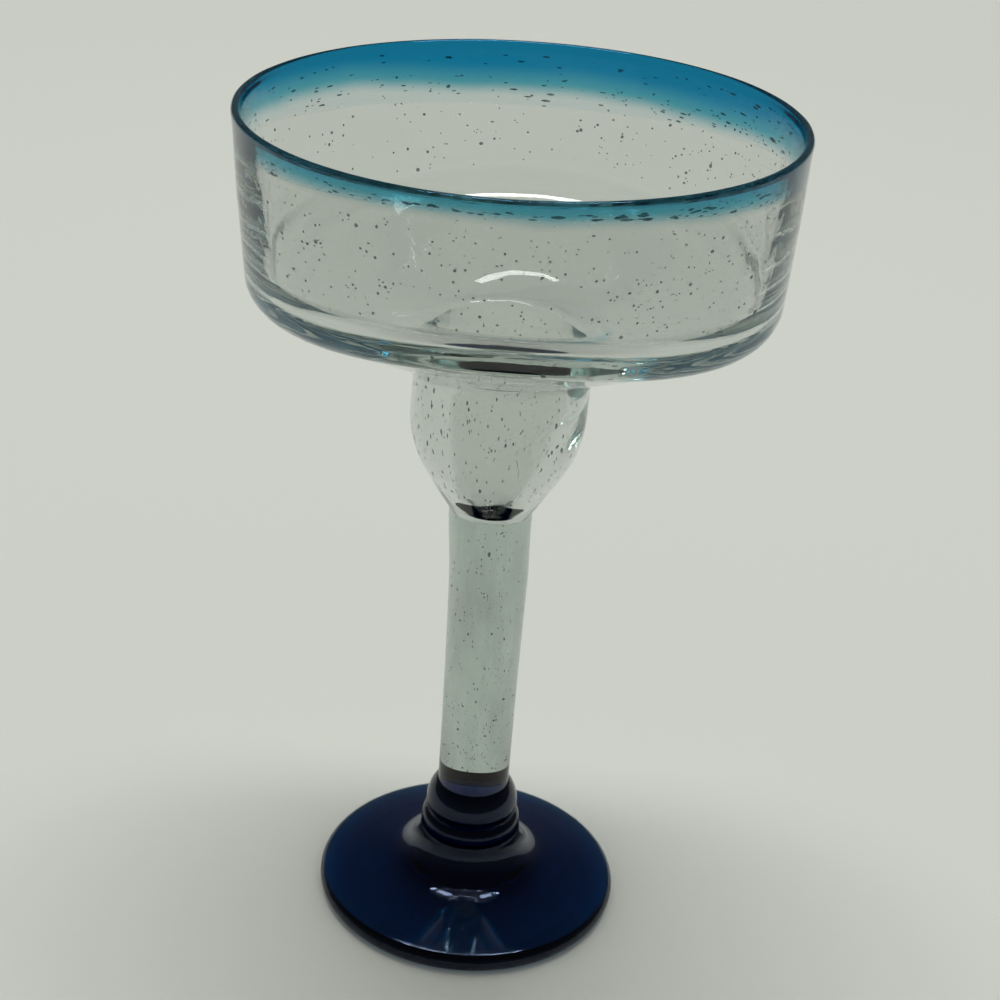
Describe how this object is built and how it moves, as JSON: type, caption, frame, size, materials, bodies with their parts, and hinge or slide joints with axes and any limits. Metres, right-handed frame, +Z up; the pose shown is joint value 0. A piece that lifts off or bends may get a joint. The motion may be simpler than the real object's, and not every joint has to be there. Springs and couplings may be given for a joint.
{
  "type": "margarita glass",
  "caption": "Hand-blown margarita glass: wide seeded-glass basin over a small cup, coloured lip, solid stem, beaded collar and cobalt foot.",
  "frame": {"origin": "centre of the ring that the foot rests on", "axes": "+Z up along the axis of the stem; the wrap of the lip is lowest on the -Y side and reaches furthest down on the +Y side"},
  "size_m": [0.12, 0.12, 0.197],
  "materials": {
    "cobalt_foot_glass": "fire-polished, deep cobalt blue",
    "cobalt_collar_glass": "fire-polished, cobalt blue, nearly black where thick",
    "clear_stem_glass": "fire-polished, faint grey-green, many seeds",
    "clear_bowl_glass": "fire-polished, faint grey-green, scattered seeds",
    "aqua_lip_glass": "fire-polished, turquoise, fading downwards"
  },
  "bodies": {
    "root": {"foot": "cobalt_foot_glass", "collar": "cobalt_collar_glass", "stem": "clear_stem_glass", "bowl": "clear_bowl_glass", "lip_wrap": "aqua_lip_glass"}
  },
  "joints": []
}
